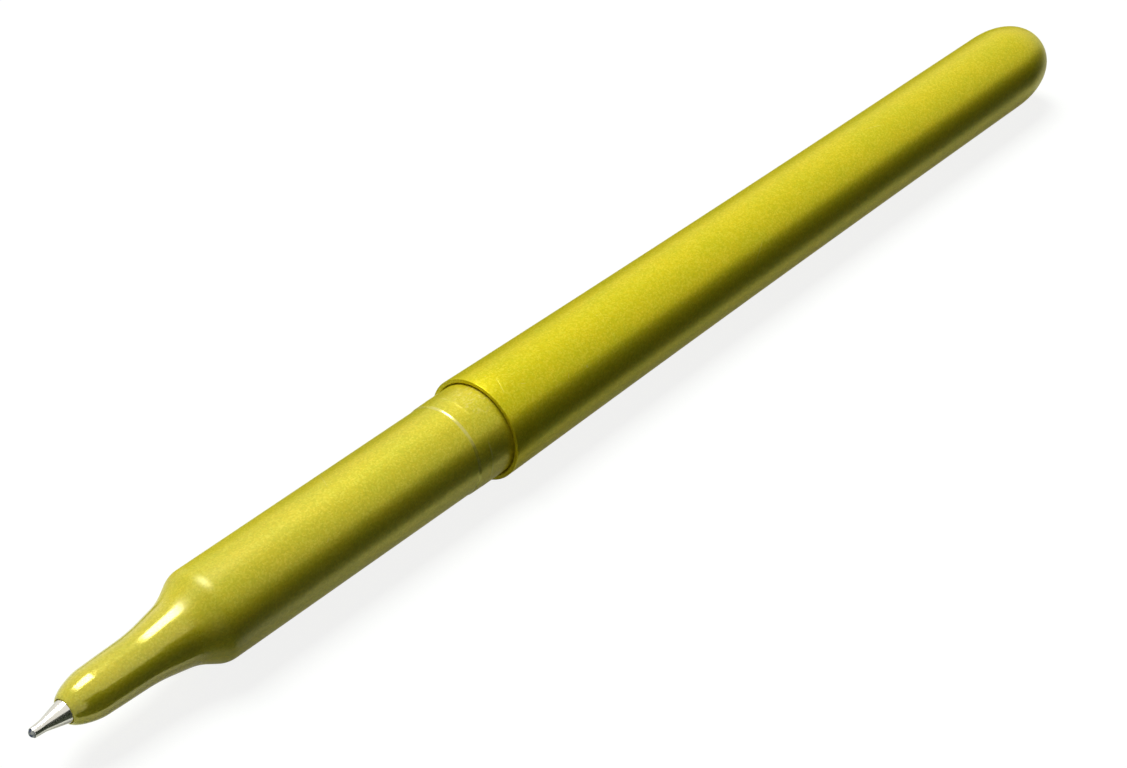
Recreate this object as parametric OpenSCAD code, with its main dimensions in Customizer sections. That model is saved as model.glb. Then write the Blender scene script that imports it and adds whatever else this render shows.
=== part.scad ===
// Telescopic ballpoint pen of two push-together plastic tubes, shown in its writing position.
// Every piece is turned round the pen's own axis, so each one is a profile of [radius, station]
// points, where a station is a distance in millimetres from the very tip of the ball.
// The finished pen lies along X on its barrel, with the writing point at the low X end.

/* [Rear barrel] */
// Length of the barrel from its open mouth to the end of the dome
barrel_l = 97.1; // [86:0.1:110]
// Thickness of the thin lip at the mouth
mouth_wall = 0.48; // [0.36:0.02:0.7]
// Wall of the barrel behind its thin mouth
barrel_wall = 1.0; // [0.85:0.05:1.1]
// How much the barrel's diameter shrinks from the mouth to its true cylinder
barrel_taper = 0.72; // [0:0.02:0.9]
// How soon the barrel narrows behind its mouth, where 1 is a straight cone
taper_power = 2; // [1:0.1:3]
// Length of the true cylinder in front of the dome
straight_l = 22; // [12:1:40]
// Length of the rounded end
dome_l = 7.3; // [5:0.1:9]
// Squareness of the rounded end, where 2 is an ellipse
dome_power = 3.0; // [2:0.1:4]
// Thickness of the closed end
end_wall = 1.2; // [0.8:0.1:2]
// Lead-in chamfer inside the lip
lip_chamfer = 0.14; // [0.1:0.02:0.3]
// Rounding of the lip's outer edge
lip_round = 0.06; // [0.05:0.01:0.2]

/* [Front sleeve] */
// Length of the sleeve that shows, from the end of the nose to the barrel's mouth
sleeve_l = 46.1; // [42:0.1:56]
// Outside diameter of the sleeve at the barrel's mouth
sleeve_d = 8.92; // [8.4:0.02:10]
// How much thinner the sleeve is at its shoulder
sleeve_taper = 0.48; // [0.3:0.02:0.8]
// Outside diameter of the nose behind its rounded end
nose_d = 4.22; // [3.9:0.02:4.6]
// Length of the nose's rounded end
nose_round_l = 1.8; // [1:0.1:3]
// Flat ring left round the hole in the nose
nose_face = 0.08; // [0.04:0.01:0.2]
// Distance from the end of the nose to the start of the neck's flare
flare_start = 3.6; // [2.8:0.1:5]
// How much the nose widens before its flare
nose_taper = 0.12; // [0:0.02:0.4]
// Distance from the end of the nose to the corner where the shoulder starts
neck_l = 11; // [8.5:0.1:12]
// Diameter of the neck at that corner
neck_d = 6.3; // [5.2:0.02:6.8]
// Curve of the flare, where 1 is a straight cone
flare_power = 2.1; // [1:0.1:2.5]
// Length of the conical shoulder
shoulder_l = 2.1; // [1.6:0.1:4]
// Length that the shoulder's rounded edge takes on each side of it
shoulder_round = 0.25; // [0.1:0.05:0.8]
// How far the cone inside the sleeve reaches past the shoulder at each end
inner_reach = 0.3; // [0.1:0.05:0.6]

/* [Land that slides in the mouth] */
// Length of the land that shows in front of the barrel's mouth
land_show = 4.3; // [3.5:0.1:6]
// Height of the crisp step at the land's front edge
land_step = 0.04; // [0.02:0.01:0.06]
// How much the land stands out of the sleeve in front of it
land_rise = 0.1; // [0.06:0.01:0.14]
// Length of the slope from the land's front edge to its full height
land_slope = 1.9; // [1:0.1:2.5]

/* [Telescopic joint] */
// Travel of the barrel from writing to retracted
travel = 6; // [5.2:0.1:8]
// Length of sleeve that stays under the thin mouth when the pen is retracted
land_spare = 3.2; // [2:0.1:5]
// Length of the sleeve's thinner tail
tail_l = 24.6; // [20:0.2:30]
// Wall of the tail
tail_wall = 1.0; // [0.9:0.05:1.3]
// Distance from the start of the tail to the snap ring inside the barrel
snap_inset = 2; // [1:0.1:4]
// Width of the snap ring
snap_w = 0.8; // [0.5:0.05:1.2]
// Height of the snap ring above the barrel's bore
snap_h = 0.25; // [0.15:0.01:0.3]
// Extra depth of the notch at each end of the travel groove
notch_h = 0.06; // [0.03:0.01:0.1]

/* [Refill] */
// Length of the whole refill, from the ball to its open tail
refill_l = 128; // [118:0.5:132]
// Outside diameter of the ink tube
tube_d = 3.0; // [2.8:0.05:3.2]
// Inside diameter of the ink tube
tube_bore = 2.0; // [1.7:0.05:2.1]
// Length of the holder's collar in front of the tube
collar_l = 3; // [2:0.1:4]
// Length of the holder's spigot inside the tube
spigot_l = 5.6; // [4:0.1:8]
// Ink passage through the holder
passage_d = 0.9; // [0.7:0.05:1]
// Length of the ink column behind the holder
ink_l = 83; // [40:1:90]
// Length of the follower grease behind the ink
grease_l = 6; // [3:0.5:8]
// Depth of the hollow in the grease's free end
grease_dip = 0.5; // [0.2:0.1:0.8]

/* [Writing point] */
// Length of metal and ball in front of the nose
point_out = 4.3; // [3.6:0.1:5]
// Diameter of the rolling ball
ball_d = 0.8; // [0.7:0.05:1]
// Diameter of the point behind its cone
point_d = 2.3; // [2.2:0.02:2.4]
// Station of the point's shoulder against the holder
point_body_l = 8.4; // [7.8:0.1:9]
// Diameter where the slim front cone meets the wide cone
cone_mid_d = 1.0; // [0.95:0.05:1.2]
// Station where the slim front cone meets the wide cone
cone_mid_z = 1.3; // [1.1:0.1:1.8]
// Station where the wide cone ends
cone_end_z = 3.9; // [3.5:0.1:4.2]
// Diameter of the tang inside the holder
tang_d = 1.6; // [1.5:0.05:1.7]
// Length of the tang
tang_l = 4; // [3:0.1:4.4]
// Thickness of the rim that is rolled over the ball
rim_wall = 0.04; // [0.03:0.01:0.06]
// Length of ball that stands out of its rim
ball_show = 0.28; // [0.2:0.01:0.32]
// Diameter of the ink feed behind the ball
feed_d = 0.4; // [0.3:0.05:0.5]

/* [Refill socket] */
// Length of the refill's tail that the socket holds
socket_l = 12; // [8:0.5:16]
// Wall of the socket's tube
socket_wall = 0.7; // [0.5:0.05:0.9]
// Thickness of the webs between the socket and the barrel
web_t = 0.8; // [0.6:0.05:1.2]
// Number of webs
web_count = 4; // [3:1:6]
// Thickness of the socket's floor
socket_floor = 1; // [0.8:0.1:1.6]
// Air hole through the socket's floor
vent_d = 1; // [0.8:0.1:1.4]

/* [Fits] */
// Radial clearance of everything that slides or turns
run_gap = 0.06; // [0.04:0.01:0.08]
// Clearance between faces that stop one another
stop_gap = 0.05; // [0.03:0.01:0.1]
// Play of the snap ring in its notch at each end of the travel
notch_gap = 0.1; // [0.05:0.01:0.15]
// Clear space behind the sleeve's tail when the pen writes
tail_gap = 0.2; // [0.1:0.05:0.5]
// Radial clearance of the ball in its seat
ball_gap = 0.012; // [0.01:0.002:0.02]

/* [Hidden] */
$fn = 96;
ARC_STEPS = 10;
EDGE_STEPS = 5;
WEB_TURN = 45;
CUT_PAST = 1;
PLASTIC = [0.80, 0.76, 0.14];

// Stations along the pen
nose_z = point_out;
mouth_z = nose_z + sleeve_l;
end_z = mouth_z + barrel_l;
dome_z = end_z - dome_l;
straight_z = dome_z - straight_l;
flare_z = nose_z + flare_start;
neck_z = nose_z + neck_l;
shoulder_z = neck_z + shoulder_l;
land_front_z = mouth_z - land_show;
land_z = mouth_z + land_spare + travel;
tail_z = land_z + tail_l;

// Radii of the sleeve and of the barrel that runs on it
sleeve_r = sleeve_d / 2;
shoulder_r = sleeve_r - sleeve_taper / 2;
land_front_r = sleeve_r - land_rise;
mouth_bore_r = sleeve_r + run_gap;
mouth_r = mouth_bore_r + mouth_wall;
barrel_bore_r = mouth_r - barrel_wall;
end_r = mouth_r - barrel_taper / 2;
tail_r = barrel_bore_r - run_gap;
tail_bore_r = tail_r - tail_wall;

// Radii of the refill and of the holes that guide it
tube_r = tube_d / 2;
tube_bore_r = tube_bore / 2;
ball_r = ball_d / 2;
point_r = point_d / 2;
nose_bore_r = point_r + run_gap;
holder_bore_r = tube_r + run_gap;
collar_z = point_body_l + collar_l;
spigot_z = collar_z + spigot_l;
ink_end_z = spigot_z + ink_l;

// The snap ring, and the groove that it travels in
snap_z = land_z + snap_inset;
snap_r = barrel_bore_r - snap_h;
groove_r = snap_r - run_gap;
notch_r = groove_r - notch_h;
groove_z = snap_z - snap_h - notch_gap;
front_notch_z = snap_z + snap_w + notch_gap;
groove_end_z = front_notch_z + travel;
rear_notch_z = groove_end_z - snap_w - 2 * notch_gap;

// Height of the pen's axis when it lies on its barrel
axis_h = mouth_r;

// Stands a profile of [radius, station] points up, turns it, and lays it along X
module turned(profile) {
    along_pen() rotate_extrude() polygon(profile);
}

// Lays a child built along Z, with stations measured from the ball, along the pen's axis
module along_pen() {
    translate([-end_z / 2, 0, axis_h]) rotate([0, 90, 0]) children();
}

// Straight taper of the sleeve from its shoulder to the front edge of the land
function sleeve_r_at(z) =
    shoulder_r + (land_front_r - shoulder_r) * (z - shoulder_z) / (land_front_z - shoulder_z);

// A quarter round from radius r0 at station z0 out to radius r1 at station z0 + l
function rounded_end(r0, r1, z0, l) =
    [for (i = [0 : ARC_STEPS])
        let (a = 90 * i / ARC_STEPS)
        [r0 + (r1 - r0) * sin(a), z0 + l * (1 - cos(a))]];

// The neck's flare, which starts along the nose and steepens towards the shoulder
function flare(r0, r1, z0, z1) =
    [for (i = [1 : ARC_STEPS])
        let (v = i / ARC_STEPS)
        [r0 + (r1 - r0) * pow(v, flare_power), z0 + (z1 - z0) * v]];

// Half of a squared ellipse, from radius r at station z to the axis at station z + l
function dome(r, z, l) =
    [for (i = [0 : 2 * ARC_STEPS])
        let (a = 90 * i / (2 * ARC_STEPS))
        [i == 2 * ARC_STEPS ? 0 : r * pow(cos(a), 2 / dome_power), z + l * sin(a)]];

// The shoulder's edge, as an arc that leaves the cone and runs into the sleeve's taper
function shoulder_edge() =
    let (cone_a = atan2(shoulder_r - neck_d / 2, shoulder_l),
         back = shoulder_round * [sin(cone_a), cos(cone_a)],
         a = [shoulder_r, shoulder_z] - back,
         b = [shoulder_r, shoulder_z],
         c = [sleeve_r_at(shoulder_z + shoulder_round), shoulder_z + shoulder_round])
    [for (i = [0 : EDGE_STEPS])
        let (v = i / EDGE_STEPS)
        (1 - v) * (1 - v) * a + 2 * v * (1 - v) * b + v * v * c];

// The land's front: a crisp little step, and a slope up to the radius that slides in the mouth
function land_front() = [
    [land_front_r, land_front_z],
    [land_front_r + land_step, land_front_z + land_step],
    [sleeve_r, land_front_z + land_slope]];

// The barrel's outside, which narrows less and less from its mouth to its true cylinder
function drawn_wall() =
    [for (i = [0 : ARC_STEPS])
        let (v = i / ARC_STEPS, start_z = mouth_z + lip_round)
        [end_r + (mouth_r - end_r) * pow(1 - v, taper_power), start_z + (straight_z - start_z) * v]];

// The tail's travel groove, with a deeper notch at its writing and its retracted end
function travel_groove() = [
    [tail_r, groove_z],
    [notch_r, groove_z],
    [notch_r, front_notch_z],
    [groove_r, front_notch_z + notch_h],
    [groove_r, rear_notch_z - notch_h],
    [notch_r, rear_notch_z],
    [notch_r, groove_end_z],
    [tail_r, groove_end_z]];

// The front half: nose, flared neck, shoulder and grip outside, and the refill's guide inside
module front_sleeve() {
    outside = concat(
        [[nose_bore_r, nose_z]],
        rounded_end(nose_bore_r + nose_face, nose_d / 2, nose_z, nose_round_l),
        [[nose_d / 2 + nose_taper / 2, flare_z]],
        flare(nose_d / 2 + nose_taper / 2, neck_d / 2, flare_z, neck_z),
        shoulder_edge(),
        land_front(),
        [[sleeve_r, land_z - lip_chamfer], [sleeve_r - lip_chamfer, land_z], [tail_r, land_z]],
        travel_groove(),
        [[tail_r, tail_z - snap_h], [tail_r - snap_h, tail_z]]);
    inside = [
        [tail_bore_r, tail_z],
        [tail_bore_r, shoulder_z + inner_reach],
        [holder_bore_r, neck_z - inner_reach],
        [holder_bore_r, point_body_l - stop_gap],
        [nose_bore_r, point_body_l - stop_gap]];
    color(PLASTIC) turned(concat(outside, inside));
}

// The rear half: thin mouth, snap ring, tapered tube, domed end and the refill's socket
module rear_barrel() {
    tail_room_z = tail_z + tail_gap;
    outside = concat(
        [[mouth_bore_r + lip_chamfer, mouth_z], [mouth_r - lip_round, mouth_z]],
        drawn_wall(),
        dome(end_r, dome_z, dome_l));
    inner_dome = dome(end_r - barrel_wall, dome_z, dome_l - end_wall);
    inside = [
        [barrel_bore_r - snap_h, tail_room_z + snap_h],
        [barrel_bore_r, tail_room_z],
        [barrel_bore_r, snap_z + snap_w],
        [snap_r, snap_z + snap_w],
        [snap_r, snap_z],
        [barrel_bore_r, snap_z - snap_h],
        [barrel_bore_r, land_z + stop_gap],
        [mouth_bore_r, land_z + stop_gap],
        [mouth_bore_r, mouth_z + lip_chamfer]];
    reversed_dome = [for (i = [len(inner_dome) - 1 : -1 : 0]) inner_dome[i]];
    color(PLASTIC) {
        union() {
            turned(concat(outside, reversed_dome, inside));
            refill_socket();
        }
    }
}

// The tube, floor and webs inside the barrel that carry the refill's tail
module refill_socket() {
    hold_r = tube_r + run_gap / 2;
    socket_r = hold_r + socket_wall;
    floor_z = refill_l + stop_gap;
    reach = end_r - barrel_wall / 2;
    along_pen() difference() {
        union() {
            translate([0, 0, refill_l - socket_l])
                cylinder(r = socket_r, h = socket_l + stop_gap + socket_floor);
            for (i = [0 : web_count - 1])
                rotate([0, 0, 360 * i / web_count + WEB_TURN])
                    translate([0, -web_t / 2, refill_l - socket_l])
                        cube([reach, web_t, socket_l + stop_gap + socket_floor]);
        }
        translate([0, 0, refill_l - socket_l - CUT_PAST])
            cylinder(r = hold_r, h = socket_l + CUT_PAST + stop_gap);
        translate([0, 0, floor_z - CUT_PAST])
            cylinder(d = vent_d, h = socket_floor + 2 * CUT_PAST);
    }
}

// The metal point: slim cone, wide cone, body and tang, with the ball's seat and the ink passage
module writing_point() {
    seat_r = ball_r + ball_gap;
    rim_r = sqrt(seat_r * seat_r - pow(ball_r - ball_show, 2)) + rim_wall;
    profile = [
        [0, ball_show],
        [rim_r, ball_show],
        [cone_mid_d / 2, cone_mid_z],
        [point_r, cone_end_z],
        [point_r, point_body_l],
        [tang_d / 2, point_body_l],
        [tang_d / 2, point_body_l + tang_l],
        [0, point_body_l + tang_l]];
    color([0.86, 0.85, 0.80]) along_pen() difference() {
        rotate_extrude() polygon(profile);
        translate([0, 0, ball_r]) sphere(r = seat_r);
        translate([0, 0, ball_r]) cylinder(d = feed_d, h = cone_end_z);
        translate([0, 0, cone_end_z]) cylinder(d = passage_d, h = point_body_l + tang_l);
    }
}

// The ball that rolls the ink on
module point_ball() {
    color([0.35, 0.36, 0.38]) along_pen() translate([0, 0, ball_r]) sphere(r = ball_r);
}

// The plastic holder that joins the metal point to the ink tube
module tip_holder() {
    profile = [
        [tang_d / 2, point_body_l],
        [tube_r - lip_chamfer, point_body_l],
        [tube_r, point_body_l + lip_chamfer],
        [tube_r, collar_z],
        [tube_bore_r, collar_z],
        [tube_bore_r, spigot_z],
        [passage_d / 2, spigot_z],
        [passage_d / 2, point_body_l + tang_l],
        [tang_d / 2, point_body_l + tang_l]];
    color([0.92, 0.93, 0.92]) turned(profile);
}

// The clear tube that holds the ink
module refill_tube() {
    profile = [
        [tube_bore_r, collar_z],
        [tube_r, collar_z],
        [tube_r, refill_l],
        [tube_bore_r, refill_l]];
    color([0.90, 0.92, 0.93, 0.6]) turned(profile);
}

// The blue ink, from the holder's passage to the follower
module ink_column() {
    profile = [
        [0, point_body_l + tang_l],
        [passage_d / 2, point_body_l + tang_l],
        [passage_d / 2, spigot_z],
        [tube_bore_r, spigot_z],
        [tube_bore_r, ink_end_z],
        [0, ink_end_z]];
    color([0.02, 0.15, 0.55]) turned(profile);
}

// The grease that follows the ink and seals it, with a hollow free end
module follower_grease() {
    profile = [
        [0, ink_end_z],
        [tube_bore_r, ink_end_z],
        [tube_bore_r, ink_end_z + grease_l],
        [0, ink_end_z + grease_l - grease_dip]];
    color([0.93, 0.91, 0.82]) turned(profile);
}

rear_barrel();
front_sleeve();
writing_point();
point_ball();
tip_holder();
refill_tube();
ink_column();
follower_grease();
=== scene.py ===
# %% [markdown]
# # A telescopic ballpoint pen
#
# The pen is two push-together tubes of satin olive-yellow plastic with an ink refill inside.
# Almost every piece was turned or moulded round one axis, so almost every piece is modelled in
# the same way: a circle of points is extruded along the pen and scaled, station by station.
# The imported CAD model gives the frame, and everything here is fitted to it, in metres.

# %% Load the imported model
import bpy
import math
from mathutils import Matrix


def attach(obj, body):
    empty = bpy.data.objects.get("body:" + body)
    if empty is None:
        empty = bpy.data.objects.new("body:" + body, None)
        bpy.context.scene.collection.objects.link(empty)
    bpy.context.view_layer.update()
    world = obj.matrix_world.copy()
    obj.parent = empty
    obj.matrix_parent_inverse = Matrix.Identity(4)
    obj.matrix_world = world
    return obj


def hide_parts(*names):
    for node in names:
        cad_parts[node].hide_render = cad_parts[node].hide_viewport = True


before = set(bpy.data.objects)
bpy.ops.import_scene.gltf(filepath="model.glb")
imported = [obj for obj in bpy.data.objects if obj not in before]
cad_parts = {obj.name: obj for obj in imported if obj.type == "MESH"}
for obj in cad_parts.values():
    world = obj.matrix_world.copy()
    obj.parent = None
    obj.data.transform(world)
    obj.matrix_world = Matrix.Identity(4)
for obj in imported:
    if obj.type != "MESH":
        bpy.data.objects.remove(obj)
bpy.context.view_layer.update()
print("nodes:", sorted(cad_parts))

# %% [markdown]
# ## Measures
#
# A maker of pens measures along the pen from the very tip of the ball. These distances are
# called stations, in millimetres. The pen lies along X with its middle at the origin, so one
# small function turns a station into a place. The sizes repeat the ones of the CAD model.

# %% Stations and radii
MM = 0.001
PEN_LENGTH = 147.5
AXIS = 5.0 * MM

NOSE = 4.3             # end of the plastic nose
FLARE = 7.9            # start of the neck's flare in the CAD model
NECK_CORNER = 15.3     # corner between the neck and the shoulder in the CAD model
SHOULDER = 17.4        # edge between the shoulder and the grip
LAND_FRONT = 46.1      # front edge of the land that slides in the barrel's mouth
MOUTH = 50.4           # open mouth of the barrel
LAND_END = 59.6        # end of the land
TAIL_END = 84.2        # end of the sleeve's thin tail
STRAIGHT = 118.2       # start of the barrel's true cylinder
DOME = 140.2           # start of the domed end

NOSE_R = 2.11
FLARE_R = 2.17
SHOULDER_R = 4.22
GRIP_R = 4.36          # sleeve in front of the land
SLEEVE_R = 4.46        # land
MOUTH_R = 5.0
END_R = 4.64           # true cylinder
BORE_R = 4.0           # barrel's bore behind the mouth


def at(station):
    """Place along X, in metres, of a station in millimetres."""
    return (station - PEN_LENGTH / 2) * MM


def sleeve_radius(station):
    """Straight taper of the sleeve from its shoulder to the front edge of the land."""
    share = (station - SHOULDER) / (LAND_FRONT - SHOULDER)
    return SHOULDER_R + (GRIP_R - SHOULDER_R) * share


print("the nose ends at x =", round(at(NOSE), 5), "and the mouth is at x =", round(at(MOUTH), 5))

# %% [markdown]
# ## The camera, the table and the light
#
# The camera stands where the photographer stood: low, close to the writing point, so that the
# barrel runs away from it and gets smaller. Its place was fitted to the rings of the pen. The
# camera comes first, because everything that follows is judged through it.

# %% Camera
CAMERA_PLACE = (-0.14653, -0.11063, 0.12317)
LOOKS_DOWN = 34.405    # degrees below level
LOOKS_ASIDE = 39.208   # degrees from the pen's direction
LENS = 73.47

view = bpy.data.cameras.new("camera")
view.lens = LENS
view.sensor_width = 36.0
view.sensor_fit = "HORIZONTAL"
view.clip_start = 0.01
view.clip_end = 20.0
camera = bpy.data.objects.new("camera", view)
camera.location = CAMERA_PLACE
camera.rotation_euler = (math.radians(90 - LOOKS_DOWN), 0.0, math.radians(LOOKS_ASIDE - 90))
bpy.context.scene.collection.objects.link(camera)
bpy.context.scene.camera = camera
bpy.context.scene.view_settings.view_transform = "Standard"
print("camera at", [round(c, 4) for c in camera.location])

# %% [markdown]
# The background has to look white, and the pen has to be lit as it would be on real card. A
# material can do both, because it may ask what kind of ray has met it. The last of these
# helpers gives plain white to the rays that the camera sees and leaves the others alone.

# %% Helpers: a node tree, a sum and the rays that are seen
def empty_tree(owner):
    """The node tree of a material or a world, with nothing in it."""
    owner.use_nodes = True
    owner.node_tree.nodes.clear()
    return owner.node_tree


def maths(tree, kind, a, b=None):
    """One sum, each side a number or a socket."""
    node = tree.nodes.new("ShaderNodeMath")
    node.operation = kind
    for i, side in enumerate((a, b)):
        if side is None:
            continue
        if isinstance(side, (int, float)):
            node.inputs[i].default_value = side
        else:
            tree.links.new(side, node.inputs[i])
    return node.outputs["Value"]


def seen_rays(tree, straight, mirrored):
    """The share of plain white for rays that the camera sees, straight or in a mirror or glass."""
    path = tree.nodes.new("ShaderNodeLightPath").outputs
    bent = maths(tree, "MAXIMUM", path["Is Glossy Ray"], path["Is Transmission Ray"])
    return maths(tree, "MAXIMUM", maths(tree, "MULTIPLY", path["Is Camera Ray"], straight),
                 maths(tree, "MULTIPLY", bent, mirrored))


# %% [markdown]
# The table is one large sheet of white card. What the camera sees of it is mostly a plain
# white, mixed with the real card, so that it turns white in the picture while the pen's shadow
# stays on it. Mirrors and glass see a share of that white as well. The light that the table
# throws back on the pen is the real card's.

# %% Table
SEEN = 0.8             # share of plain white that the camera sees
MIRRORED = 0.25        # share of plain white that mirrors and glass see
PLAIN_WHITE = 1.07
CARD_WHITE = (0.77, 0.81, 0.76, 1.0)

bpy.ops.object.select_all(action="DESELECT")
bpy.ops.mesh.primitive_plane_add(size=6.0, location=(0.0, 0.0, 0.0))
table = bpy.context.object
table.name = "table"

white_card = bpy.data.materials.new("white_card")
tree = empty_tree(white_card)
out = tree.nodes.new("ShaderNodeOutputMaterial")
paint = tree.nodes.new("ShaderNodeBsdfDiffuse")
paint.inputs["Color"].default_value = CARD_WHITE
plain = tree.nodes.new("ShaderNodeEmission")
plain.inputs["Strength"].default_value = PLAIN_WHITE
white = tree.nodes.new("ShaderNodeMixShader")
tree.links.new(seen_rays(tree, SEEN, MIRRORED), white.inputs["Fac"])
tree.links.new(paint.outputs["BSDF"], white.inputs[1])
tree.links.new(plain.outputs["Emission"], white.inputs[2])
tree.links.new(white.outputs["Shader"], out.inputs["Surface"])
table.data.materials.append(white_card)
print("table:", [round(d, 1) for d in table.dimensions], "m")

# %% [markdown]
# One wide soft lamp hangs above the pen, a little behind it. The far side is bright, and the
# near side falls into a dark band, under which the pale table throws some light back. The lamp
# is wide because the polished nose and neck show it as a broad white streak. A lamp of half
# the size and the same power would light the plastic as well, but the streak would be thin.

# %% Lamp
LAMP_PLACE = (0.02, 0.27, 0.87)
LAMP_WIDTH, LAMP_HEIGHT = 0.42, 0.45
LAMP_POWER = 9.5


def soft_lamp(name, place, target, width, height, power):
    """A rectangular lamp that faces a target."""
    lamp = bpy.data.lights.new(name, "AREA")
    lamp.shape = "RECTANGLE"
    lamp.size = width
    lamp.size_y = height
    lamp.energy = power
    holder = bpy.data.objects.new(name, lamp)
    holder.location = place
    direction = [t - p for t, p in zip(target, place)]
    length = math.sqrt(sum(d * d for d in direction))
    holder.rotation_euler = (math.acos(-direction[2] / length), 0.0,
                             math.atan2(direction[1], direction[0]) - math.pi / 2)
    bpy.context.scene.collection.objects.link(holder)
    return holder


ceiling = soft_lamp("ceiling", LAMP_PLACE, (0.0, 0.0, 0.0), LAMP_WIDTH, LAMP_HEIGHT, LAMP_POWER)
print("lamp:", ceiling.name, [round(c, 2) for c in ceiling.location])

# %% [markdown]
# Photographers put dark cards beside a shiny thing, just outside the picture, to draw a dark
# band along its side. Here the camera looks through them, and they cast no shadow. A card either
# stands on its edge or lies level, and each is given by where it starts and ends along the pen.

# %% Helpers: dark cards
black_paper = bpy.data.materials.new("black_paper")
black_paper.use_nodes = True
paper = black_paper.node_tree.nodes["Principled BSDF"]
paper.inputs["Base Color"].default_value = (0.055, 0.066, 0.046, 1.0)
paper.inputs["Roughness"].default_value = 1.0
paper.inputs["Specular IOR Level"].default_value = 0.0


def black_card(name, place, width, height, lean):
    """A card along the pen, unseen by the camera, which casts no shadow. lean 0 lays it flat."""
    bpy.ops.object.select_all(action="DESELECT")
    bpy.ops.mesh.primitive_plane_add(size=1.0, location=place, rotation=(lean, 0.0, 0.0))
    card = bpy.context.object
    card.name = name
    card.scale = (width, height, 1.0)
    card.visible_camera = False
    card.visible_shadow = False
    card.data.materials.append(black_paper)
    return card


def standing_card(name, start, end, across, height):
    """A card that stands on its edge from start to end."""
    place = ((start + end) / 2, across, height / 2)
    return black_card(name, place, end - start, height, math.pi / 2)


def lying_card(name, start, end, across, other, up):
    """A card that lies level from start to end, and from across to other."""
    place = ((start + end) / 2, (across + other) / 2, up)
    return black_card(name, place, end - start, other - across, 0.0)


# %% [markdown]
# A low card stands close to the near side and another behind. Each is bent, and its foot lies
# on the table. The near foot leaves only a narrow strip of white between it and the pen, which
# the lowest part of the pen's side still reflects. The bright nose and the metal point need
# more of the dark on the near side, so a slightly higher card, a strip beside them and a card
# overhead are there for them alone. Behind them is no card, because their far edge is bright,
# and the near cards end just in front of the point, so that the shoulder's cone looks past
# them into the white.

# %% Dark cards
CARDS_END = -0.079     # where the near cards end, in metres along the pen
NEAR, NEAR_FOOT = -0.045, -0.008
FAR, FAR_FOOT = 0.16, 0.016
LIFT = 0.0004          # a foot lies this far above the table

cards = [standing_card("near_black_card", CARDS_END, 0.400, NEAR, 0.026),
         lying_card("near_black_foot", CARDS_END, 0.400, NEAR, NEAR_FOOT, LIFT),
         standing_card("far_black_card", 0.020, 0.650, FAR, 0.050),
         lying_card("far_black_foot", -0.050, 0.650, FAR_FOOT, FAR, LIFT),
         standing_card("nose_black_card", CARDS_END, -0.042, -0.046, 0.029),
         lying_card("nose_black_foot", CARDS_END, -0.056, -0.0090, -0.0056, 0.0006),
         lying_card("nose_black_roof", -0.250, 0.070, -0.580, -0.440, 0.30)]
print("dark cards:", [card.name for card in cards])

# %% [markdown]
# The room around is white for the camera, for mirrors and for glass, and gives the pen hardly
# any light of its own, so that the lamp alone shapes it.

# %% World
ROOM_LIGHT = 0.01


def spread(tree, value, low, high, from_low=0.3, from_high=0.7):
    """Maps a value to a range."""
    stretch = tree.nodes.new("ShaderNodeMapRange")
    stretch.inputs["From Min"].default_value = from_low
    stretch.inputs["From Max"].default_value = from_high
    stretch.inputs["To Min"].default_value = low
    stretch.inputs["To Max"].default_value = high
    tree.links.new(value, stretch.inputs["Value"])
    return stretch.outputs["Result"]


world = bpy.data.worlds.new("studio")
bpy.context.scene.world = world
tree = empty_tree(world)
out = tree.nodes.new("ShaderNodeOutputWorld")
room = tree.nodes.new("ShaderNodeBackground")
room.inputs["Color"].default_value = (1.0, 1.0, 1.0, 1.0)
level = spread(tree, seen_rays(tree, 1.0, 1.0), ROOM_LIGHT, 1.0, 0.0, 1.0)
tree.links.new(level, room.inputs["Strength"])
tree.links.new(room.outputs["Background"], out.inputs["Surface"])
print("room light for the pen:", ROOM_LIGHT)

# %% [markdown]
# ## How a turned piece is modelled
#
# By hand, one would add a circle where the piece starts, and in edit mode extrude it a little
# way along the axis, scale the new ring, and go on like that to the other end. A spun profile
# would give the same surface, but extruded rings keep their points in line from end to end.
# These helpers do exactly these steps.

# %% Helpers: extrude a ring along the pen
RING_POINTS = 128


def deselect():
    """Nothing stays selected, so the next operator works on its own piece only."""
    if bpy.context.object and bpy.context.object.mode != "OBJECT":
        bpy.ops.object.mode_set(mode="OBJECT")
    bpy.ops.object.select_all(action="DESELECT")


def start_ring(name, station, radius, points=RING_POINTS):
    """A circle that stands across the pen at a station, in edit mode with all of it selected."""
    deselect()
    bpy.ops.mesh.primitive_circle_add(vertices=points, radius=radius * MM, fill_type="NOTHING",
                                      location=(at(station), 0.0, AXIS),
                                      rotation=(0.0, math.pi / 2, 0.0))
    piece = bpy.context.object
    piece.name = name
    bpy.ops.object.transform_apply(location=True, rotation=True, scale=True)
    bpy.ops.object.mode_set(mode="EDIT")
    bpy.ops.mesh.select_all(action="SELECT")
    return piece


def next_ring(before, after):
    """Extrudes the selected ring from one (station, radius) to the next."""
    step = ((after[0] - before[0]) * MM, 0.0, 0.0)
    bpy.ops.mesh.extrude_region_move(TRANSFORM_OT_translate={"value": step})
    scale = after[1] / before[1]
    bpy.ops.transform.resize(value=(1.0, scale, scale),
                             center_override=(at(after[0]), 0.0, AXIS))


print("each ring has", RING_POINTS, "points")

# %% [markdown]
# A shell needs an end that leaves no hole. A piece that is closed at both ends gets a pole at
# each: its last ring is extruded once more and merged into one point. A tube's profile runs
# along the outside and back through the bore, and ends on the ring that it started from.

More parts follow.
